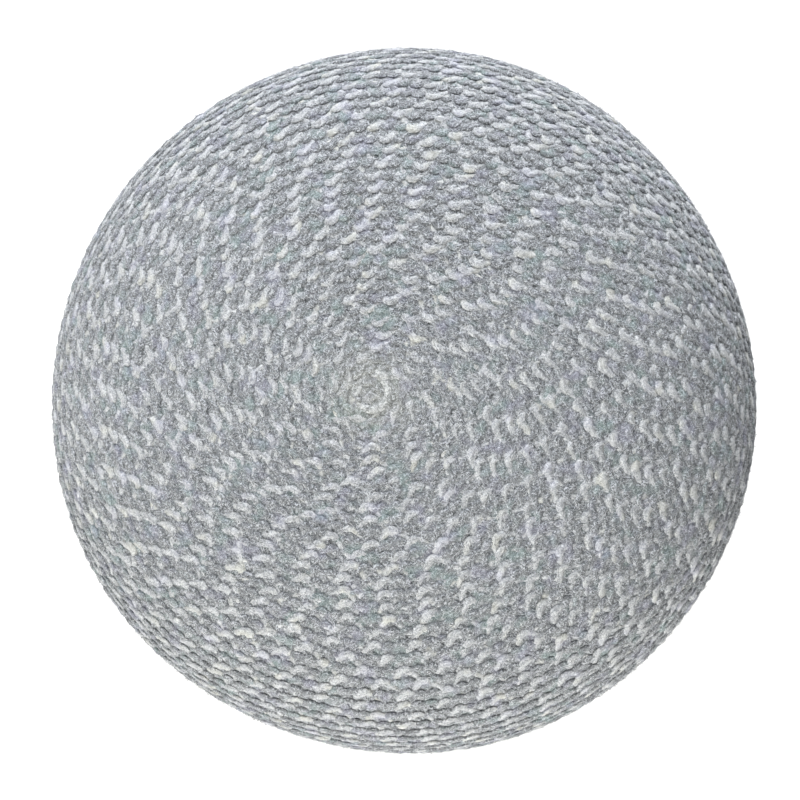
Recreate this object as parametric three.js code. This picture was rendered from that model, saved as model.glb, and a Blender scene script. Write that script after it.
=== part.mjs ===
// Braided pouf. One long flat braid is wound from the middle of the top outwards, sewn edge to
// edge over the shoulder and down the side, and turned in under the foot. The filling rounds it
// out, and its own weight presses a flat patch on the floor.
// Millimetres, +Z up. The origin is under the middle of the pouf, on the floor.

import * as THREE from 'three';

// Whole pouf
const POUF_RADIUS = 254;
const POUF_HEIGHT = 278;
const BELLY_HEIGHT = 136;
const FOOT_RADIUS = 150;

// Crown above the belly: one quarter of a rounded superellipse
const CROWN_SPREAD = 2.4;
const CROWN_RISE = 2.4;

// Braid rows: narrower where the winding is tight in the middle, wider past the shoulder
const ROW_WIDTH_MIDDLE = 8.2;
const ROW_WIDTH_SIDE = 10;
const MIDDLE_ENDS = 90;
const SIDE_STARTS = 185;
const GROOVE_DEPTH = 2.2;
const GROOVE_FADE_HEIGHT = 7;
const COIL_START = 2;

// Hand-made unevenness: number of bulges round the pouf, how far they stand out, where they start
const BULGES = [
  { count: 2, reach: 0.7, turn: 0.9 },
  { count: 3, reach: 1.0, turn: 2.1 },
  { count: 5, reach: 0.6, turn: 0.4 },
];
const CROWN_SAG = 1.5;

// Mesh steps
const STEPS_ROUND = 50;
const PROFILE_STEPS = 600;
const WINDING_STEPS = 200;

const YARN_COLOR = '#adb1b6';
const YARN_ROUGHNESS = 0.95;

// Outline of half the pouf as points { r, z } from the middle of the top to the middle of the foot.
function outlinePoints() {
  const points = [];
  const crown = POUF_HEIGHT - BELLY_HEIGHT;
  for (let i = 0; i <= PROFILE_STEPS; i += 1) {
    const angle = (Math.PI / 2) * (1 - i / PROFILE_STEPS);
    points.push({
      r: POUF_RADIUS * Math.cos(angle) ** (2 / CROWN_SPREAD),
      z: BELLY_HEIGHT + crown * Math.sin(angle) ** (2 / CROWN_RISE),
    });
  }
  for (let i = 1; i <= PROFILE_STEPS; i += 1) {
    const angle = (Math.PI / 2) * (i / PROFILE_STEPS);
    points.push({
      r: FOOT_RADIUS + (POUF_RADIUS - FOOT_RADIUS) * Math.cos(angle),
      z: BELLY_HEIGHT * (1 - Math.sin(angle)),
    });
  }
  points[0].r = 0;
  points.at(-1).z = 0;
  points.push({ r: 0, z: 0 });
  return points;
}

// The outline measured along its length, so that a place on it is found by its distance.
class Outline {
  constructor(points) {
    this.points = points;
    this.along = [0];
    for (let i = 1; i < points.length; i += 1) {
      const step = Math.hypot(points[i].r - points[i - 1].r, points[i].z - points[i - 1].z);
      this.along.push(this.along[i - 1] + step);
    }
    this.footStarts = this.along.at(-2);
  }

  // Radius, height and outward direction at a distance from the middle of the top.
  at(distance) {
    const last = this.points.length - 1;
    const after = this.along.findIndex((value) => value > distance);
    const i = after < 0 ? last - 1 : after - 1;
    const start = this.points[i];
    const end = this.points[i + 1];
    const length = this.along[i + 1] - this.along[i];
    const share = (distance - this.along[i]) / length;
    return {
      r: start.r + (end.r - start.r) * share,
      z: start.z + (end.z - start.z) * share,
      outR: (start.z - end.z) / length,
      outZ: (end.r - start.r) / length,
    };
  }
}

// Width of one braid row at a distance from the middle of the top.
function rowWidth(distance) {
  const share = (distance - MIDDLE_ENDS) / (SIDE_STARTS - MIDDLE_ENDS);
  return ROW_WIDTH_MIDDLE + (ROW_WIDTH_SIDE - ROW_WIDTH_MIDDLE) * THREE.MathUtils.clamp(share, 0, 1);
}

// Distance from the middle of the top for each small step of the winding, up to past the foot's rim.
function windBraid(end) {
  const distances = [COIL_START];
  while (distances.at(-1) < end) {
    const distance = distances.at(-1);
    distances.push(distance + rowWidth(distance) / WINDING_STEPS);
  }
  return distances;
}

// Pushes a point out or in a little, as the filling does. The foot stays flat.
function uneven(x, y, z) {
  const around = Math.atan2(y, x);
  const radius = Math.hypot(x, y);
  const height = z / POUF_HEIGHT;
  let reach = 0;
  for (const bulge of BULGES) {
    reach += bulge.reach * Math.cos(bulge.count * around + bulge.turn);
  }
  const spread = 1 + (reach / POUF_RADIUS) * Math.min(1, radius / (0.5 * POUF_RADIUS));
  const sag = CROWN_SAG * (radius / POUF_RADIUS) * Math.cos(around + 0.7) * height ** 2;
  return [x * spread, y * spread, z - sag];
}

// The filled cover. Two lines wind down it at the same bearing: one in the groove where two rows are
// sewn together, and one on the crest half a row further out. The faces run between them.
function filledCover() {
  const outline = new Outline(outlinePoints());
  const winding = windBraid(outline.footStarts + 3 * ROW_WIDTH_SIDE);
  const rounds = Math.ceil(winding.findIndex((value) => value > outline.footStarts) / WINDING_STEPS);
  const positions = [];
  const faces = [];

  // Adds the point at a distance along the outline, sunk by a depth, and gives its number.
  const addPoint = (step, distance, depth) => {
    const spot = outline.at(distance);
    const flat = THREE.MathUtils.smoothstep(spot.z, 0, GROOVE_FADE_HEIGHT);
    const sunk = depth * flat * Math.min(1, distance / ROW_WIDTH_MIDDLE);
    const bearing = (2 * Math.PI * step) / STEPS_ROUND;
    const r = spot.r - spot.outR * sunk;
    positions.push(...uneven(r * Math.cos(bearing), r * Math.sin(bearing), spot.z - spot.outZ * sunk));
    return positions.length / 3 - 1;
  };
  const woundTo = (step) => winding[(step * WINDING_STEPS) / STEPS_ROUND];

  const last = rounds * STEPS_ROUND;
  const groove = [];
  for (let step = 0; step <= last + STEPS_ROUND; step += 1) {
    groove.push(addPoint(step, woundTo(step), GROOVE_DEPTH));
  }
  const crest = [];
  for (let step = 0; step <= last; step += 1) {
    crest.push(addPoint(step, (woundTo(step) + woundTo(step + STEPS_ROUND)) / 2, 0));
  }
  for (let step = 0; step < last; step += 1) {
    const next = step + STEPS_ROUND;
    faces.push([groove[step], crest[step], crest[step + 1]]);
    faces.push([groove[step], crest[step + 1], groove[step + 1]]);
    faces.push([crest[step], groove[next], groove[next + 1]]);
    faces.push([crest[step], groove[next + 1], crest[step + 1]]);
  }

  // The start of the braid, tucked in at the middle of the top.
  const beforeTurn = STEPS_ROUND - 1;
  const topMiddle = addPoint(0, 0, 0);
  for (let step = 0; step < beforeTurn; step += 1) {
    faces.push([topMiddle, groove[step], groove[step + 1]]);
  }
  faces.push([topMiddle, groove[beforeTurn], groove[0]]);
  faces.push([groove[0], groove[beforeTurn], crest[0]]);
  faces.push([crest[0], groove[beforeTurn], groove[STEPS_ROUND]]);

  // The flat patch under the pouf, from the last turn to the middle.
  const footMiddle = addPoint(0, outline.along.at(-1), 0);
  faces.push([groove[last + 1], groove[last], crest[last]]);
  faces.push([groove[last + 1], crest[last], groove[last + STEPS_ROUND]]);
  faces.push([groove[last + 1], groove[last + STEPS_ROUND], footMiddle]);
  for (let step = last + 1; step < last + STEPS_ROUND; step += 1) {
    faces.push([groove[step + 1], groove[step], footMiddle]);
  }

  const geometry = new THREE.BufferGeometry();
  geometry.setAttribute('position', new THREE.Float32BufferAttribute(positions, 3));
  geometry.setIndex(faces.flat());
  return geometry;
}

// Moves a shape so that the middle of its outline stands over the origin and its foot on the floor.
function standOverOrigin(geometry) {
  geometry.computeBoundingBox();
  const { min, max } = geometry.boundingBox;
  geometry.translate(-(min.x + max.x) / 2, -(min.y + max.y) / 2, -min.z);
  geometry.computeVertexNormals();
  return geometry;
}

const pouf = new THREE.Group();
const cover = new THREE.Mesh(
  standOverOrigin(filledCover()),
  new THREE.MeshStandardMaterial({ color: YARN_COLOR, roughness: YARN_ROUGHNESS, metalness: 0 }),
);
cover.name = 'braided_cover';
pouf.add(cover);

export default pouf;
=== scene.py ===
"""Braided pouf. One flat braid of three thick soft strands, two grey and one off-white, is wound
from the middle of the top outwards and sewn edge to edge round a filled form."""

from math import cos, pi, radians, sin, tau

import bpy
import numpy as np
from mathutils import Matrix, Vector


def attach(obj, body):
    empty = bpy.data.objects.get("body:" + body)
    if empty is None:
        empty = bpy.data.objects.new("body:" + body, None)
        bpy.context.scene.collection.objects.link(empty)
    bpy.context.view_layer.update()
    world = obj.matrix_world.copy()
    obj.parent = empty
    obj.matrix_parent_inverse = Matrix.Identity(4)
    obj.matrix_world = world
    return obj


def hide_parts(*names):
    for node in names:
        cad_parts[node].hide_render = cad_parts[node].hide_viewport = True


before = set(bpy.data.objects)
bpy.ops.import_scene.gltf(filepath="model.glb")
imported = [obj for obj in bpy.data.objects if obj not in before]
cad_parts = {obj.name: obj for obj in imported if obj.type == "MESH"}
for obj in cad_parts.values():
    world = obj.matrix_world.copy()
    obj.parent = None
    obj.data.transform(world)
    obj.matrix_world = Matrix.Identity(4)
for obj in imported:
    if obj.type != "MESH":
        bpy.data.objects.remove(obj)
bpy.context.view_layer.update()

MM = 0.001

# Whole pouf, in millimetres
POUF_RADIUS = 254.0
POUF_HEIGHT = 278.0
BELLY_HEIGHT = 136.0
FOOT_RADIUS = 150.0

# Crown above the belly: one quarter of a rounded superellipse
CROWN_SPREAD = 2.4
CROWN_RISE = 2.4

# Points of the outline over the crown, down the side and across the foot
CROWN_POINTS = 900
SIDE_POINTS = 600
FOOT_POINTS = 300

# Unevenness from the filling: bulges round the pouf, how far each stands out, and where it starts
BULGES = [
    {"count": 2, "reach": 0.7, "turn": 0.9},
    {"count": 3, "reach": 1.0, "turn": 2.1},
    {"count": 5, "reach": 0.6, "turn": 0.4},
]
BULGES_FULL_FROM = 0.5
CROWN_SAG = 1.5
SAG_TURN = 0.7

# Flat foot, in millimetres: how much it gives, and the height that the floor's pressure reaches
FOOT_GIVE = 1.2
PRESSED_HEIGHT = 12.0

# Rows of the winding, in millimetres along the outline
ROW_WIDTH_MIDDLE = 8.2
ROW_WIDTH_SIDE = 10.0
MIDDLE_ENDS = 90.0
SIDE_STARTS = 185.0
COIL_START = 2.0
COIL_END_GAP = 1.0

# Turns tucked in under the start of the coil, and points at which the winding is worked out
TUCKED_START = 0.97
DISTANCE_POINTS = 60000
TURN_POINTS = 40000

# Length of a full plait at distances from the middle of the top, in millimetres
PLAIT_LENGTHS = [(0, 28.5), (75, 28.5), (90, 28.99), (105, 28.67), (122, 28.53), (135, 28.69),
                 (148, 28.59), (158, 28.29), (170, 28.35), (180, 28.73), (212, 28.69), (226, 28.8)]

# Strands of the braid, and the share of a plait after which the first turns at the inner edge
STRANDS = 3
INNER_TURN = 0.5

# Shape of the braid, as shares of the row's width
SWING = 0.68
STRAND_HALF_WIDTHS = (0.29, 0.26, 0.26)
BRAID_SHIFT = 0.45

# Half a strand's thickness, and depths under the outline, in millimetres
STRAND_HALF_THICKNESS = 1.3
BRAID_SINK = 2.2
UNDERLAY_SINK = 1.55

# Crossings of the strands: rise and dip in millimetres, how late they come, and the swell on top
CROSSING_RISE = 0.42
CROSSING_LAG = radians(52)
CROSSING_SWELL = 0.08

# Slope of a row, which leans on the one before it and is tucked under the next
ROW_LEAN = 0.09

# Strand end in the middle of the top: distances of its curl, turns, bearing and rise of its middle
START_LOOP = (10.5, 12.5)
START_TURNS = 0.66
START_BEARING = -2.6
START_RISE = -1.3

# Thickness of that end: half sizes, turns over which it thins out, and the share left at its tips
START_HALF_SIZES = (3.3, 1.2)
START_TAPER = 0.15
START_TIP = 0.5
START_RINGS = 26

# Rings of a strand, in degrees of plait before its inner turn: close together where it shows
RINGS_CROWN = [-112, -84, -58, -32, -6, 20, 46, 74, 104, 150, 205]
RINGS_SIDE = [-110, -76, -44, -12, 20, 52, 88, 132, 190]
RINGS_FOOT = [-110, -70, -30, 10, 50, 96, 170]

# Shares of a plait: room left at the ends of a piece, and the step that gives a strand's direction
RING_MARGIN = 0.02
DIRECTION_STEP = 0.004

# Points round a strand from its inner side over its top, and the radius for the run round it
SECTION_CROWN = np.radians([-25, 32, 90, 148, 205])
SECTION_SIDE = np.radians([-24, 55, 125, 204])
RUN_RADIUS = 2.6

# Distances along the outline where the side pieces and the sparser side fibres start
SHOULDER = 300.0
WAIST = 345.0

# Length of side that belongs to the foot pieces, in millimetres
FOOT_MARGIN = 4.0

# Filled form under the strands: rings from pole to pole, points on a ring, and lowest height
FORM_RINGS = 62
FORM_SIDES = 80
FORM_FOOT = 1.5

# Loose fibres on a square millimetre, shares of the strands, and the plait and row they count on
FIBRES_CROWN = 0.47
FIBRES_SIDE = 0.17
FIBRE_SHARES = (1.2, 0.9, 0.9)
USUAL_PLAIT = 28.5
USUAL_ROW = 9.4

# Size of a loose fibre in millimetres, ten times too thick because a real one is too fine to show
FIBRE_LENGTH = (2.0, 4.4)
FIBRE_HALF_WIDTH = (0.13, 0.28)
FIBRE_LIFT = (0.15, 0.6)
FIBRE_TIP = (-0.1, 0.4)

# Roots of the loose fibres: degrees of plait, radians clear of a strand's sides, share of its size
ROOTS_SHOW = (-110, 95)
ROOT_MARGIN = 0.4
ROOT_DEPTH = 0.96

# Headings of the loose fibres, in radians: how far they stray from the strand, and how far they bend
FIBRE_STRAY = 0.6
FIBRE_BEND = 0.7

# Tints of the dye and their offsets: green and violet in the grey yarn, cream and violet in the white
GREY_TINTS = (("#70908a", 0.0), ("#84829c", 7.0))
WHITE_TINTS = (("#c6c4b0", 19.0), ("#acacc2", 7.0))

# Clouds of dye, 7 on 100 mm: the levels of a cloud where a tint starts and is full, and its share
DYE_CLOUD = 100 / 7
DYE_LEVELS = (0.54, 0.74)
DYE_SHARE = 0.25

# Cream tone of the first rows: its colour, the millimetres over which it fades out, and its share
MIDDLE_TINT = "#c4c5b3"
MIDDLE_FADES = (16, 36)
MIDDLE_SHARE = 0.11

# Single hairs, 42 on 100 mm: about 0.3 mm thick, because a real one is too fine to show
HAIR_SPACING = 100 / 42
HAIR_FADES = 0.05
YARN_HAIR_OFFSETS = (3.0, 11.0)
UNDERSIDE_HAIR_OFFSETS = (5.0, 17.0)

# Neighbours' fibres brushed over a strand: tufts, 45 on 100 mm, their strength and where they cover
TUFT = 100 / 45
TUFT_STRENGTH = 2.4
TUFT_LEVELS = (1.5, 1.75)
EDGE_COVER = 0.6
MIDDLE_COVER = 0.3
MIDDLE_COVER_FADES = (20, 100)

# Spun yarn, in millimetres: streaks of fibre along and across the strand, curls, and uneven spinning
FIBRE_STREAK = (2.2, 0.8)
CURL = 1.0
SPUN_LUMP = (9.0, 30.0)
SPUN_SHARE = 0.08
YARN_LEVELS = (0.38, 0.62)
YARN_RELIEF = 0.7

# Strands' undersides, in millimetres: grain, 60 on 100 mm, and relief
UNDERSIDE_GRAIN = 100 / 60
UNDERSIDE_RELIEF = 0.8

# View: the photo's width and the pouf's radius in its pixels, and the millimetres in a pixel
PHOTO_SIZE = 800
POUF_RADIUS_PIXELS = 351.0
PHOTO_SCALE = POUF_RADIUS / POUF_RADIUS_PIXELS

# Camera: distance in metres, lean off straight down and its bearing, aim and sensor in millimetres
CAMERA_DISTANCE = 1.9
CAMERA_LEAN = radians(8.6)
CAMERA_LEAN_BEARING = radians(-14.5)
AIM_OFFSET = (-1.1, 0.7)
SENSOR_WIDTH = 36.0

# Floor: size in metres, colour and glow
FLOOR_SIZE = 60
FLOOR_COLOR = "#c8c8c8"
FLOOR_GLOW = 0.45

# Lights beyond the top and the bottom of the picture, in metres and watts
LIGHTS = [
    {"name": "key", "place": (-0.15, 3.2, 2.1), "power": 355, "color": "#fafcff"},
    {"name": "fill", "place": (-0.8, -3.3, 2.1), "power": 342, "color": "#fffefa"},
]
LIGHT_SIZE = 3.0
LIGHT_AIM = (0, 0, 0.15)

# Surroundings: heights of the direction where the pale horizon ends and the dark overhead starts
PALE_UP_TO = 0.22
DARK_FROM = 0.36
PALE_STRENGTH = 0.68
DARK_STRENGTH = 0.04

# Sockets of the Mix node, which have the same names for numbers and colours
MIX_SHARE = 0
NUMBER_A = 2
NUMBER_B = 3
COLOR_A = 6
COLOR_B = 7
COLOR_OUT = 2

rng = np.random.default_rng(seed=41)


def linear(hex_color):
    """An sRGB hex colour as linear red, green, blue and full alpha, by the sRGB formula."""
    parts = [int(hex_color[i:i + 2], 16) / 255 for i in (1, 3, 5)]
    return [c / 12.92 if c <= 0.04045 else ((c + 0.055) / 1.055) ** 2.4 for c in parts] + [1.0]


# The pouf's form

def outline():
    """Half the outline from the middle of the top to the middle of the foot, as distance along it,
    radius and height. The crown is a quarter of a superellipse, the lower side a quarter ellipse
    standing on the rim of the flat foot."""
    angle = np.linspace(pi / 2, 0, CROWN_POINTS)
    crown_radius = POUF_RADIUS * np.cos(angle).clip(0) ** (2 / CROWN_SPREAD)
    crown_height = BELLY_HEIGHT + (POUF_HEIGHT - BELLY_HEIGHT) * np.sin(angle) ** (2 / CROWN_RISE)
    angle = np.linspace(0, pi / 2, SIDE_POINTS)[1:]
    side_radius = FOOT_RADIUS + (POUF_RADIUS - FOOT_RADIUS) * np.cos(angle)
    side_height = BELLY_HEIGHT * (1 - np.sin(angle))
    foot_radius = np.linspace(FOOT_RADIUS, 0, FOOT_POINTS)[1:]
    radius = np.r_[crown_radius, side_radius, foot_radius]
    height = np.r_[crown_height, side_height, np.zeros(len(foot_radius))]
    along = np.r_[0, np.cumsum(np.hypot(np.diff(radius), np.diff(height)))]
    return along, radius, height


ALONG, RADIUS, HEIGHT = outline()
OUT_R = -np.gradient(HEIGHT, ALONG)
OUT_Z = np.gradient(RADIUS, ALONG)
FOOT_STARTS = ALONG[-FOOT_POINTS]


def uneven(points):
    """Points pushed out or in by the bulges, each a cosine of its count times the bearing that fades
    out towards the middle. One side of the crown is a little lower: by a cosine of the bearing,
    times the radius and the square of the height."""
    around = np.arctan2(points[..., 1], points[..., 0])
    radius = np.hypot(points[..., 0], points[..., 1])
    reach = sum(b["reach"] * np.cos(b["count"] * around + b["turn"]) for b in BULGES)
    spread = 1 + reach / POUF_RADIUS * np.minimum(1, radius / (BULGES_FULL_FROM * POUF_RADIUS))
    sag = CROWN_SAG * radius / POUF_RADIUS * np.cos(around + SAG_TURN)
    lowered = points[..., 2] - sag * (points[..., 2] / POUF_HEIGHT) ** 2
    return np.stack([points[..., 0] * spread, points[..., 1] * spread, lowered], -1)


def on_cover(distance, bearing, rise):
    """Points at a distance along the outline and a bearing, raised along the outward direction, and
    the outward directions there. A distance below nought lies across the middle of the top, and one
    past the end lies across the middle of the foot."""
    across = np.where((distance < 0) | (distance > ALONG[-1]), -1, 1)
    distance = ALONG[-1] - np.abs(ALONG[-1] - np.abs(distance))
    out_r = np.interp(distance, ALONG, OUT_R)
    out_z = np.interp(distance, ALONG, OUT_Z)
    size = np.hypot(out_r, out_z)
    out_r, out_z = out_r / size, out_z / size
    r = (np.interp(distance, ALONG, RADIUS) + out_r * rise) * across
    z = np.interp(distance, ALONG, HEIGHT) + out_z * rise
    out_r = out_r * across
    outward = np.stack([out_r * np.cos(bearing), out_r * np.sin(bearing), out_z], -1)
    return uneven(np.stack([r * np.cos(bearing), r * np.sin(bearing), z], -1)), outward


def pressed(points):
    """Points near the floor squeezed above it, so that the foot is flat. The height becomes half the
    sum of itself and the root of its square plus the square of the give, and blends back evenly to
    itself up to the height that the pressure reaches."""
    height = points[..., 2]
    squeezed = 0.5 * (height + np.sqrt(height ** 2 + FOOT_GIVE ** 2))
    share = np.clip(height / PRESSED_HEIGHT, 0, 1)
    height = squeezed * (1 - share) + height * share
    return np.concatenate([points[..., :2], height[..., None]], -1)


# The winding

def row_width(distance):
    """Width of a row: narrow in the middle, widening evenly to the shoulder."""
    share = np.clip((distance - MIDDLE_ENDS) / (SIDE_STARTS - MIDDLE_ENDS), 0, 1)
    return ROW_WIDTH_MIDDLE + (ROW_WIDTH_SIDE - ROW_WIDTH_MIDDLE) * share


def winding():
    """Turns of the winding on a fine grid, with each turn's row middle, row width and the number of
    plaits used so far. The distance grows by one row width a turn. A turn uses its own length over
    the length of a plait there, which changes a little as the hand pulled some rows tighter."""
    start = COIL_START - TUCKED_START * ROW_WIDTH_MIDDLE
    distance = np.linspace(start, ALONG[-1] - COIL_END_GAP, DISTANCE_POINTS)
    turns = np.r_[0, np.cumsum(np.diff(distance) / row_width(distance[:-1]))] - TUCKED_START
    turn = np.linspace(-TUCKED_START, turns[-1] - 1, TURN_POINTS)
    inner = np.interp(turn, turns, distance)
    outer = np.interp(turn + 1, turns, distance)
    middle = (inner + outer) / 2
    length = np.hypot(tau * np.interp(np.abs(middle), ALONG, RADIUS), outer - inner)
    used = length / np.interp(middle, *zip(*PLAIT_LENGTHS))
    plaits = np.r_[0, np.cumsum((used[1:] + used[:-1]) / 2 * np.diff(turn))]
    return turn, middle, outer - inner, plaits


TURN, ROW_MIDDLE, ROW_WIDTH, PLAITS = winding()


class Drift:
    """A slow seeded wander along the braid: random values at knots a number of plaits apart, joined
    by the smooth step of the share between two knots, three of its squares less two of its cubes."""

    knots_before = 2
    spare_knots = 6

    def __init__(self, spacing, reach):
        self.spacing = spacing
        self.knots = rng.normal(0, reach, int(PLAITS[-1] / spacing) + self.spare_knots)

    def at(self, plait):
        """How far the braid has wandered at plait counts."""
        place = plait / self.spacing + self.knots_before
        cell = np.clip(place.astype(int), 0, len(self.knots) - 2)
        share = place - cell
        share = share * share * (3 - 2 * share)
        return self.knots[cell] * (1 - share) + self.knots[cell + 1] * share


# Wander of the whole braid: slip and pull along it in plaits, and shift across it in millimetres
BRAID_SLIP = Drift(spacing=4.0, reach=0.012)
BRAID_PULL = Drift(spacing=11.0, reach=0.03)
BRAID_ASIDE = Drift(spacing=2.5, reach=0.18)


# Strands

def unit(vectors):
    """Vectors of length one in the same directions."""
    return vectors / np.linalg.norm(vectors, axis=-1, keepdims=True)


def directions(outward, forward):
    """Sideways, upward and forward directions of a strand, square to each other: sideways is the
    cross product of the pouf's outward direction and the strand's own."""
    tangent = unit(forward)
    side = unit(np.cross(outward, tangent))
    return side, np.cross(tangent, side), tangent


class Strand:
    """One of the three strands. Its middle swings across the braid as the cosine of the plait angle
    and rises as minus the sine of twice that angle less a lag. So it passes over the others just
    before it turns at an edge, and under them on its way to the other edge. The braid leans, with
    its inner edge high."""

    def __init__(self, place):
        self.place = place
        self.slip = Drift(spacing=0.9, reach=0.012)
        self.swing = Drift(spacing=0.7, reach=0.06)
        self.rise = Drift(spacing=0.5, reach=0.11)
        self.plump = Drift(spacing=0.35, reach=0.14)

    def rings_between(self, first, last, angles):
        """Plait counts of the strand's rings: two given counts, and between them the counts at the
        same angles of every plait."""
        turns = np.arange(np.floor(first) - 1, np.ceil(last) + 2)
        counts = turns[:, None] + INNER_TURN - self.place / STRANDS - np.array(angles) / 360
        counts = np.sort(counts.ravel())
        inside = (counts > first + RING_MARGIN) & (counts < last - RING_MARGIN)
        return np.r_[first, counts[inside], last]

    def centre(self, plait):
        """Middle of the strand, outward direction of the pouf and half sizes of the strand."""
        bearing = tau * np.interp(plait, PLAITS, TURN)
        width = np.interp(plait, PLAITS, ROW_WIDTH)
        middle = np.interp(plait, PLAITS, ROW_MIDDLE) + BRAID_SHIFT * width
        slip = BRAID_SLIP.at(plait) + BRAID_PULL.at(plait) + self.slip.at(plait)
        angle = tau * (plait + slip + self.place / STRANDS)
        swing = SWING * width * (1 + self.swing.at(plait)) * np.cos(angle)
        over = -np.sin(2 * angle - CROSSING_LAG)
        rise = CROSSING_RISE * over - BRAID_SINK - ROW_LEAN * swing + self.rise.at(plait)
        points, outward = on_cover(middle + swing + BRAID_ASIDE.at(plait), bearing, rise)
        plump = (1 + CROSSING_SWELL * over) * (1 + self.plump.at(plait))
        half_width = STRAND_HALF_WIDTHS[self.place] * width * plump
        return points, outward, half_width, STRAND_HALF_THICKNESS * plump

    def course(self, plait):
        """Middle, sideways, upward and forward directions, and half sizes."""
        points, outward, half_width, half_thickness = self.centre(plait)
        behind, _, _, _ = self.centre(plait - DIRECTION_STEP)
        ahead, _, _, _ = self.centre(plait + DIRECTION_STEP)
        return points, *directions(outward, ahead - behind), half_width, half_thickness


def start_loop():
    """The strand end at the middle of the top, curled in two thirds of a turn: its distance from
    the middle grows evenly with the turn, and it thins out at both ends. Middle, directions and half
    sizes as for a strand."""
    turn = np.linspace(0, START_TURNS, START_RINGS)
    distance = START_LOOP[0] + (START_LOOP[1] - START_LOOP[0]) * turn / START_TURNS
    points, outward = on_cover(distance, tau * turn + START_BEARING, np.full(len(turn), START_RISE))
    thin = np.interp(turn, [0, START_TAPER, START_TURNS - START_TAPER, START_TURNS],
                     [START_TIP, 1, 1, START_TIP])
    half_width, half_thickness = START_HALF_SIZES
    forward = np.gradient(points, axis=0)
    return points, *directions(outward, forward), half_width * thin, half_thickness * thin


# Meshes

def oval(points, side, up, half_width, half_thickness, section):
    """Points round the strand at the angles of a section: the middle, the cosine of the angle times
    the half width sideways, and its sine times the half thickness upwards."""
    across = np.cos(section)[..., None] * side * half_width[..., None]
    return points + across + np.sin(section)[..., None] * up * half_thickness[..., None]


def closed_faces(rings, sides):
    """Faces of a closed skin over rings of points, numbered ring by ring: four-sided faces from each
    ring to the next, and a fan at each end to a point of its own, numbered after the rings."""
    ring = np.arange(rings - 1)[:, None] * sides
    corner = np.arange(sides)
    following = (corner + 1) % sides
    skin = np.stack([ring + corner, ring + following, ring + sides + following,
                     ring + sides + corner], -1).reshape(-1, 4)
    last = (rings - 1) * sides
    start_fan = np.stack([np.full(sides, rings * sides), following, corner], -1)
    end_fan = np.stack([np.full(sides, rings * sides + 1), last + corner, last + following], -1)
    return [skin, start_fan, end_fan]


def add_mesh(name, vertices, groups):
    """A smooth mesh object from points in millimetres and groups of faces of one size each."""
    mesh = bpy.data.meshes.new(name)
    mesh.vertices.add(len(vertices))
    mesh.vertices.foreach_set("co", (vertices * MM).ravel())
    loops = np.concatenate([group.ravel() for group in groups])
    sizes = np.concatenate([np.full(len(group), group.shape[1]) for group in groups])
    mesh.loops.add(len(loops))
    mesh.loops.foreach_set("vertex_index", loops)
    mesh.polygons.add(len(sizes))
    mesh.polygons.foreach_set("loop_start", np.r_[0, np.cumsum(sizes)[:-1]])
    mesh.update(calc_edges=True)
    mesh.polygons.foreach_set("use_smooth", np.ones(len(sizes), bool))
    piece = bpy.data.objects.new(name, mesh)
    bpy.context.scene.collection.objects.link(piece)
    return piece


def tube_mesh(name, course, section):
    """A closed tube of oval rings along a strand's course, with the run along and around it kept in
    millimetres in the attribute yarn_run."""
    points, side, up, _, half_width, half_thickness = course
    rings = oval(points[:, None], side[:, None], up[:, None], half_width[:, None],
                 half_thickness[:, None], section[None])
    count, sides = rings.shape[:2]
    along = np.r_[0, np.cumsum(np.linalg.norm(np.diff(points, axis=0), axis=1))]
    run = np.zeros((count, sides, 3))
    run[..., 0] = along[:, None]
    run[..., 1] = section * RUN_RADIUS
    run = np.concatenate([run.reshape(-1, 3), [[0, 0, 0], [along[-1], 0, 0]]])
    vertices = pressed(np.concatenate([rings.reshape(-1, 3), points[:1], points[-1:]]))
    piece = add_mesh(name, vertices, closed_faces(count, sides))
    attribute = piece.data.attributes.new("yarn_run", "FLOAT_VECTOR", "POINT")
    attribute.data.foreach_set("vector", run.ravel())
    return piece


def fibre_mesh(name, strand, first, last, count):
    """Loose fibres on a strand. Each is a thin pointed strip folded at its middle: from its root on
    the strand's upper side it goes half its length one way and half another, roughly along the
    strand, and ends a little above its neighbours."""
    shown = rng.uniform(*ROOTS_SHOW, count)
    plait = rng.uniform(first, last, count).round() + INNER_TURN - (strand.place / STRANDS + shown / 360)
    plait = plait[(plait > first) & (plait < last)]
    count = len(plait)
    points, side, up, tangent, half_width, half_thickness = strand.course(plait)
    section = rng.uniform(ROOT_MARGIN, pi - ROOT_MARGIN, count)
    root = oval(points, side, up, half_width * ROOT_DEPTH, half_thickness * ROOT_DEPTH, section)
    normal = np.cos(section)[:, None] * side / half_width[:, None]
    normal += np.sin(section)[:, None] * up / half_thickness[:, None]
    cross = np.cross(unit(normal), tangent)
    heading = rng.normal(0, FIBRE_STRAY, count) + pi * rng.integers(0, 2, count)
    turned = heading + rng.normal(0, FIBRE_BEND, count)
    half_length = rng.uniform(*FIBRE_LENGTH, count)[:, None] / 2
    lift = rng.uniform(*FIBRE_LIFT, count)[:, None]
    start = np.cos(heading)[:, None] * tangent + np.sin(heading)[:, None] * cross
    finish = np.cos(turned)[:, None] * tangent + np.sin(turned)[:, None] * cross
    fold = root + start * half_length + up * lift
    tip = fold + finish * half_length + up * rng.normal(*FIBRE_TIP, count)[:, None]
    width = np.cross(up, start) * rng.uniform(*FIBRE_HALF_WIDTH, count)[:, None]
    corners = np.stack([root, fold + width, fold - width, tip], 1)
    each = np.arange(count)[:, None] * corners.shape[1]
    faces = [each + np.array([[0, 2, 1]]), each + np.array([[3, 1, 2]])]
    piece = add_mesh(name, pressed(corners.reshape(-1, 3)), faces)
    tone = np.repeat(rng.uniform(0, 1, count), corners.shape[1])
    attribute = piece.data.attributes.new("fibre_tone", "FLOAT", "POINT")
    attribute.data.foreach_set("value", tone)
    return piece


# Materials

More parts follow.
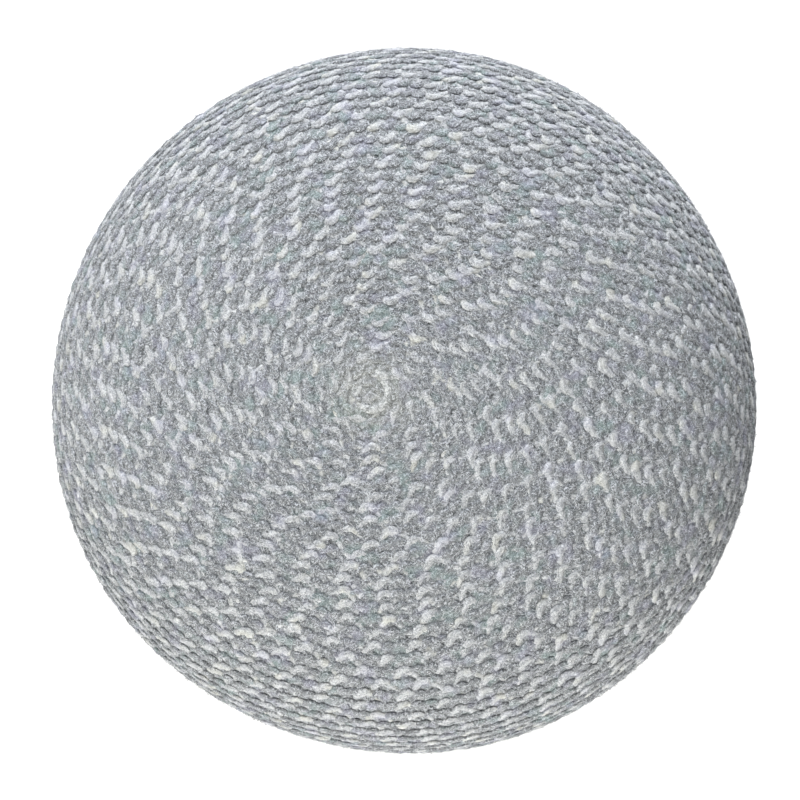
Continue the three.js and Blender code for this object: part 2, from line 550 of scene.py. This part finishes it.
def add_node(tree, kind, settings=None, links=None):
    """Adds a node, sets its properties and input values, and links its inputs. An input goes by its
    name, or by its number where names repeat."""
    node = tree.nodes.new(kind)
    for key, value in (settings or {}).items():
        if isinstance(key, str) and hasattr(node, key):
            setattr(node, key, value)
        else:
            node.inputs[key].default_value = value
    for key, source in (links or {}).items():
        tree.links.new(source, node.inputs[key])
    return node


def new_material(name):
    """An empty material and its node tree."""
    material = bpy.data.materials.new(name)
    material.use_nodes = True
    material.node_tree.nodes.clear()
    return material, material.node_tree


def from_middle(tree, place):
    """Distance from the upright line through the middle of the pouf: the length of the place with
    its height left out."""
    flat = add_node(tree, "ShaderNodeMapping", {"Scale": (1, 1, 0)}, {"Vector": place})
    return add_node(tree, "ShaderNodeVectorMath", {"operation": "LENGTH"},
                    {0: flat.outputs[0]}).outputs["Value"]


def dyed(tree, color, place, tints):
    """The colour with uneven dyeing: in clouds it turns a little towards each of the tints. The first
    rows in the middle of the top are paler and creamier."""
    for tint, offset in tints:
        moved = add_node(tree, "ShaderNodeMapping", {"Location": (offset, 0, 0)}, {"Vector": place})
        cloud = add_node(tree, "ShaderNodeTexNoise", {"Scale": 1 / (DYE_CLOUD * MM), "Detail": 1.0},
                         {"Vector": moved.outputs[0]}).outputs["Fac"]
        share = add_node(tree, "ShaderNodeMapRange",
                         {"From Min": DYE_LEVELS[0], "From Max": DYE_LEVELS[1], "To Max": DYE_SHARE},
                         {"Value": cloud}).outputs["Result"]
        color = add_node(tree, "ShaderNodeMix", {"data_type": "RGBA", COLOR_B: linear(tint)},
                         {MIX_SHARE: share, COLOR_A: color}).outputs[COLOR_OUT]
    paler = add_node(tree, "ShaderNodeMapRange",
                     {"From Min": MIDDLE_FADES[0] * MM, "From Max": MIDDLE_FADES[1] * MM,
                      "To Min": MIDDLE_SHARE, "To Max": 0.0},
                     {"Value": from_middle(tree, place)}).outputs["Result"]
    return add_node(tree, "ShaderNodeMix", {"data_type": "RGBA", COLOR_B: linear(MIDDLE_TINT)},
                    {MIX_SHARE: paler, COLOR_A: color}).outputs[COLOR_OUT]


def hairs(tree, place, offset):
    """Single curled hairs as thin lines: one where a cloudy pattern passes its middle value, and
    nought a little way off."""
    moved = add_node(tree, "ShaderNodeMapping", {"Location": (offset, 0, 0)}, {"Vector": place})
    cloud = add_node(tree, "ShaderNodeTexNoise",
                     {"Scale": 1 / (HAIR_SPACING * MM), "Detail": 1.5, "Distortion": 0.5},
                     {"Vector": moved.outputs[0]}).outputs["Fac"]
    off_line = add_node(tree, "ShaderNodeMath", {"operation": "SUBTRACT", 1: 0.5}, {0: cloud})
    off_line = add_node(tree, "ShaderNodeMath", {"operation": "ABSOLUTE"}, {0: off_line.outputs[0]})
    return add_node(tree, "ShaderNodeMapRange", {"From Max": HAIR_FADES, "To Min": 1.0, "To Max": 0.0},
                    {"Value": off_line.outputs[0]}).outputs["Result"]


def with_hairs(tree, color, place, hair_colors, offsets):
    """The colour with a layer of single hairs in each of the hair colours."""
    for hair, offset in zip(hair_colors, offsets):
        color = add_node(tree, "ShaderNodeMix", {"data_type": "RGBA", COLOR_B: linear(hair)},
                         {MIX_SHARE: hairs(tree, place, offset), COLOR_A: color}).outputs[COLOR_OUT]
    return color


def brushed_over(tree, color, run, place, cover):
    """Fibres of the neighbouring strands brushed over a strand in ragged tufts. They show where the
    sum of the tufts, the run away from the strand's top and the nearness to the pouf's middle is
    high, so they lie over a strand's edges, and in the tight first rows over its whole width."""
    quarter_round = RUN_RADIUS * pi / 2
    around = add_node(tree, "ShaderNodeSeparateXYZ", links={0: run}).outputs["Y"]
    off_top = add_node(tree, "ShaderNodeMath", {"operation": "SUBTRACT", 1: quarter_round}, {0: around})
    off_top = add_node(tree, "ShaderNodeMath", {"operation": "ABSOLUTE"}, {0: off_top.outputs[0]})
    edge = add_node(tree, "ShaderNodeMapRange", {"From Max": quarter_round, "To Max": EDGE_COVER},
                    {"Value": off_top.outputs[0]}).outputs["Result"]
    middle = add_node(tree, "ShaderNodeMapRange",
                      {"From Min": MIDDLE_COVER_FADES[0] * MM, "From Max": MIDDLE_COVER_FADES[1] * MM,
                       "To Min": MIDDLE_COVER, "To Max": 0.0},
                      {"Value": from_middle(tree, place)}).outputs["Result"]
    ragged = add_node(tree, "ShaderNodeTexNoise", {"Scale": 1 / (TUFT * MM), "Detail": 3.0},
                      {"Vector": place}).outputs["Fac"]
    level = add_node(tree, "ShaderNodeMath", {"operation": "ADD"}, {0: edge, 1: middle})
    level = add_node(tree, "ShaderNodeMath", {"operation": "MULTIPLY_ADD", 1: TUFT_STRENGTH},
                     {0: ragged, 2: level.outputs[0]})
    share = add_node(tree, "ShaderNodeMapRange",
                     {"From Min": TUFT_LEVELS[0], "From Max": TUFT_LEVELS[1]},
                     {"Value": level.outputs[0]}).outputs["Result"]
    return add_node(tree, "ShaderNodeMix", {"data_type": "RGBA", COLOR_B: linear(cover)},
                    {MIX_SHARE: share, COLOR_A: color}).outputs[COLOR_OUT]


def yarn_material(name, body, hair, offset, tints, cover=None):
    """Soft spun yarn, brushed: short fibres of mixed shades lie along the strand, so it looks
    heathered, matt and a little fuzzy."""
    material, tree = new_material(name)
    run = add_node(tree, "ShaderNodeAttribute", {"attribute_name": "yarn_run"}).outputs["Vector"]
    place = add_node(tree, "ShaderNodeTexCoord").outputs["Object"]
    # Fibres along the strand, drawn coarser than real ones, which are too fine to show
    fibre_place = add_node(tree, "ShaderNodeMapping",
                           {"Location": (offset, 0, 0),
                            "Scale": (1 / FIBRE_STREAK[0], 1 / FIBRE_STREAK[1], 1)}, {"Vector": run})
    fibre = add_node(tree, "ShaderNodeTexNoise", {"Scale": 1.0, "Detail": 3.0, "Roughness": 0.7},
                     {"Vector": fibre_place.outputs[0]}).outputs["Fac"]
    # Loose ends and curls in every direction
    curl = add_node(tree, "ShaderNodeTexNoise",
                    {"Scale": 1 / (CURL * MM), "Detail": 2.0, "Roughness": 0.7},
                    {"Vector": place}).outputs["Fac"]
    mixed = add_node(tree, "ShaderNodeMix", {"data_type": "FLOAT", MIX_SHARE: 0.5},
                     {NUMBER_A: fibre, NUMBER_B: curl})
    # Thicker and thinner places in the spinning
    spun_place = add_node(tree, "ShaderNodeMapping",
                          {"Location": (offset, 0, 0),
                           "Scale": (1 / SPUN_LUMP[0], 1 / SPUN_LUMP[1], 1)}, {"Vector": run})
    spun = add_node(tree, "ShaderNodeTexNoise", {"Scale": 1.0, "Detail": 1.0},
                    {"Vector": spun_place.outputs[0]}).outputs["Fac"]
    heathered = add_node(tree, "ShaderNodeMix", {"data_type": "FLOAT", MIX_SHARE: SPUN_SHARE},
                         {NUMBER_A: mixed.outputs[0], NUMBER_B: spun})
    shade = add_node(tree, "ShaderNodeMapRange",
                     {"From Min": YARN_LEVELS[0], "From Max": YARN_LEVELS[1]},
                     {"Value": heathered.outputs[0]}).outputs["Result"]
    dark, light = body
    color = add_node(tree, "ShaderNodeMix",
                     {"data_type": "RGBA", COLOR_A: linear(dark), COLOR_B: linear(light)},
                     {MIX_SHARE: shade}).outputs[COLOR_OUT]
    if cover:
        color = brushed_over(tree, color, run, place, cover)
    color = with_hairs(tree, color, place, hair, YARN_HAIR_OFFSETS)
    bump = add_node(tree, "ShaderNodeBump", {"Strength": 1.0, "Distance": YARN_RELIEF * MM},
                    {"Height": mixed.outputs[0]})
    shader = add_node(tree, "ShaderNodeBsdfPrincipled",
                      {"Roughness": 0.95, "Specular IOR Level": 0.2, "Sheen Weight": 0.2,
                       "Sheen Roughness": 0.6},
                      {"Base Color": dyed(tree, color, place, tints), "Normal": bump.outputs[0]})
    add_node(tree, "ShaderNodeOutputMaterial", links={"Surface": shader.outputs[0]})
    return material


def fibre_material(name, dark, light, tints):
    """Single fibres of the yarn, brushed loose. Their shades differ from fibre to fibre, which gives
    the grain over the whole cover."""
    material, tree = new_material(name)
    tone = add_node(tree, "ShaderNodeAttribute", {"attribute_name": "fibre_tone"}).outputs["Fac"]
    place = add_node(tree, "ShaderNodeTexCoord").outputs["Object"]
    color = add_node(tree, "ShaderNodeMix",
                     {"data_type": "RGBA", COLOR_A: linear(dark), COLOR_B: linear(light)},
                     {MIX_SHARE: tone}).outputs[COLOR_OUT]
    shader = add_node(tree, "ShaderNodeBsdfPrincipled", {"Roughness": 0.9, "Specular IOR Level": 0.2},
                      {"Base Color": dyed(tree, color, place, tints)})
    add_node(tree, "ShaderNodeOutputMaterial", links={"Surface": shader.outputs[0]})
    return material


def underlay_material():
    """The strands' undersides and the sewing, brushed over with loose fibres, seen between the
    strands as the same heathered grey."""
    material, tree = new_material("grey_yarn_underside")
    place = add_node(tree, "ShaderNodeTexCoord").outputs["Object"]
    grain = add_node(tree, "ShaderNodeTexNoise", {"Scale": 1 / (UNDERSIDE_GRAIN * MM), "Detail": 2.0},
                     {"Vector": place}).outputs["Fac"]
    color = add_node(tree, "ShaderNodeMix",
                     {"data_type": "RGBA", COLOR_A: linear("#5b5e60"), COLOR_B: linear("#8c8f91")},
                     {MIX_SHARE: grain}).outputs[COLOR_OUT]
    color = with_hairs(tree, color, place, ("#424548", "#adb0b3"), UNDERSIDE_HAIR_OFFSETS)
    bump = add_node(tree, "ShaderNodeBump", {"Strength": 0.6, "Distance": UNDERSIDE_RELIEF * MM},
                    {"Height": grain})
    shader = add_node(tree, "ShaderNodeBsdfPrincipled", {"Roughness": 0.95, "Specular IOR Level": 0.1},
                      {"Base Color": dyed(tree, color, place, GREY_TINTS), "Normal": bump.outputs[0]})
    add_node(tree, "ShaderNodeOutputMaterial", links={"Surface": shader.outputs[0]})
    return material


# Pieces

def filled_form():
    """The filled form under the strands: the outline turned round the middle and sunk so far that
    it shows only in the gaps between the strands, with both poles closed by a fan."""
    distance = np.linspace(0, ALONG[-1], FORM_RINGS)[1:-1]
    bearing = np.linspace(0, tau, FORM_SIDES, endpoint=False)
    d, b = np.meshgrid(distance, bearing, indexing="ij")
    points, _ = on_cover(d, b, np.full(d.shape, -UNDERLAY_SINK))
    poles, _ = on_cover(np.array([0, ALONG[-1]]), np.zeros(2), np.full(2, -UNDERLAY_SINK))
    points = pressed(np.concatenate([points.reshape(-1, 3), poles]))
    points[:, 2] = np.maximum(points[:, 2], FORM_FOOT)
    # Its rings run the other way round than a strand's, so each face is listed backwards
    faces = [np.c_[group[:, :1], group[:, :0:-1]] for group in closed_faces(*d.shape)]
    return add_mesh("filled_form", points, faces)


def braid_pieces(yarns):
    """The three strands, each in a length for the crown, the side and the foot, the loose fibres on
    the crown and the side, and the curled strand end. The number of fibres is the braid's area times
    their density, times the strand's share."""
    shoulder, waist, foot = np.interp([SHOULDER, WAIST, FOOT_STARTS - FOOT_MARGIN], ROW_MIDDLE, PLAITS)
    zones = [
        ("crown", 0.0, shoulder, RINGS_CROWN, SECTION_CROWN),
        ("side", shoulder, foot, RINGS_SIDE, SECTION_SIDE),
        ("foot", foot, PLAITS[-1], RINGS_FOOT, SECTION_SIDE),
    ]
    fuzz = [("crown", 0.0, waist, FIBRES_CROWN), ("side", waist, foot, FIBRES_SIDE)]
    pieces = []
    for place, (yarn, material, fibre) in enumerate(yarns):
        strand = Strand(place)
        for zone, first, last, angles, section in zones:
            counts = strand.rings_between(first, last, angles)
            piece = tube_mesh(f"{yarn}_{zone}", strand.course(counts), section)
            piece.data.materials.append(material)
            pieces.append(piece)
        for zone, first, last, density in fuzz:
            area = (last - first) * USUAL_PLAIT * USUAL_ROW
            count = int(area * density / STRANDS * FIBRE_SHARES[place])
            piece = fibre_mesh(f"{yarn}_fibres_{zone}", strand, first, last, count)
            piece.data.materials.append(fibre)
            pieces.append(piece)
    start = tube_mesh("braid_start", start_loop(), SECTION_CROWN)
    start.data.materials.append(yarns[0][1])
    pieces.append(start)
    return pieces


def build():
    """Makes every piece of the pouf and puts it on its body."""
    yarns = [
        ("light_strand",
         yarn_material("off_white_spun_yarn", body=("#8d9092", "#a5a7a9"), hair=("#777a7e", "#bfc1c3"),
                       offset=80.0, tints=WHITE_TINTS, cover="#6d7073"),
         fibre_material("off_white_loose_fibres", "#696b6f", "#c5c7c9", WHITE_TINTS)),
        ("grey_strand",
         yarn_material("heathered_grey_spun_yarn", body=("#5b5e60", "#7b7e81"),
                       hair=("#383a3d", "#b4b7bb"), offset=0.0, tints=GREY_TINTS),
         fibre_material("grey_loose_fibres", "#292b2e", "#aeb1b5", GREY_TINTS)),
        ("second_grey_strand",
         yarn_material("second_heathered_grey_spun_yarn", body=("#595c5e", "#797c7f"),
                       hair=("#36383c", "#b2b5ba"), offset=40.0, tints=GREY_TINTS),
         fibre_material("second_grey_loose_fibres", "#27292c", "#acafb3", GREY_TINTS)),
    ]
    form = filled_form()
    form.data.materials.append(underlay_material())
    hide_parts("braided_cover")
    pieces = [form] + braid_pieces(yarns)
    for piece in pieces:
        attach(piece, "root")


# Floor, camera and light

def add_floor():
    """Matt white paper without gloss. It glows a little, so that it stays white in the picture."""
    bpy.ops.mesh.primitive_plane_add(size=FLOOR_SIZE)
    floor = bpy.context.active_object
    floor.name = "floor"
    material, tree = new_material("white_paper_floor")
    shader = add_node(tree, "ShaderNodeBsdfPrincipled",
                      {"Base Color": linear(FLOOR_COLOR), "Roughness": 1.0, "Specular IOR Level": 0.0,
                       "Emission Color": linear("#ffffff"), "Emission Strength": FLOOR_GLOW})
    add_node(tree, "ShaderNodeOutputMaterial", links={"Surface": shader.outputs[0]})
    floor.data.materials.append(material)


def add_camera():
    """The camera stands almost straight above and leans to the right of the picture. Its lens is the
    sensor's width times the distance, over the width that the photo shows."""
    data = bpy.data.cameras.new("camera")
    camera = bpy.data.objects.new("camera", data)
    bpy.context.scene.collection.objects.link(camera)
    aim = Vector((AIM_OFFSET[0], AIM_OFFSET[1], BELLY_HEIGHT)) * MM
    towards = Vector((sin(CAMERA_LEAN) * cos(CAMERA_LEAN_BEARING),
                      sin(CAMERA_LEAN) * sin(CAMERA_LEAN_BEARING), cos(CAMERA_LEAN)))
    camera.location = aim + CAMERA_DISTANCE * towards
    right = Vector((0, 1, 0)).cross(towards).normalized()
    up = towards.cross(right)
    turned = Matrix((right, up, towards)).transposed()
    camera.rotation_euler = turned.to_euler()
    data.sensor_width = SENSOR_WIDTH
    data.lens = SENSOR_WIDTH * CAMERA_DISTANCE / (PHOTO_SIZE * PHOTO_SCALE * MM)
    bpy.context.scene.camera = camera


def add_light(name, place, power, color):
    """A square soft light aimed at the pouf."""
    data = bpy.data.lights.new(name, "AREA")
    data.size = LIGHT_SIZE
    data.energy = power
    data.color = linear(color)[:3]
    light = bpy.data.objects.new(name, data)
    light.location = place
    light.rotation_euler = (Vector(LIGHT_AIM) - Vector(place)).to_track_quat("-Z", "Y").to_euler()
    bpy.context.scene.collection.objects.link(light)


def add_surroundings():
    """Plain surroundings, pale at the horizon and dark overhead, with an even change between."""
    world = bpy.data.worlds.new("studio")
    world.use_nodes = True
    tree = world.node_tree
    background = tree.nodes["Background"]
    background.inputs["Color"].default_value = linear("#ffffff")
    direction = add_node(tree, "ShaderNodeTexCoord").outputs["Generated"]
    height = add_node(tree, "ShaderNodeSeparateXYZ", links={0: direction}).outputs["Z"]
    strength = add_node(tree, "ShaderNodeMapRange",
                        {"From Min": PALE_UP_TO, "From Max": DARK_FROM,
                         "To Min": PALE_STRENGTH, "To Max": DARK_STRENGTH},
                        {"Value": height}).outputs["Result"]
    tree.links.new(strength, background.inputs["Strength"])
    bpy.context.scene.world = world


def add_stage():
    """Floor, camera, two large soft lights and surroundings."""
    add_floor()
    add_camera()
    for light in LIGHTS:
        add_light(**light)
    add_surroundings()
    bpy.context.scene.view_settings.view_transform = "Standard"


build()
add_stage()
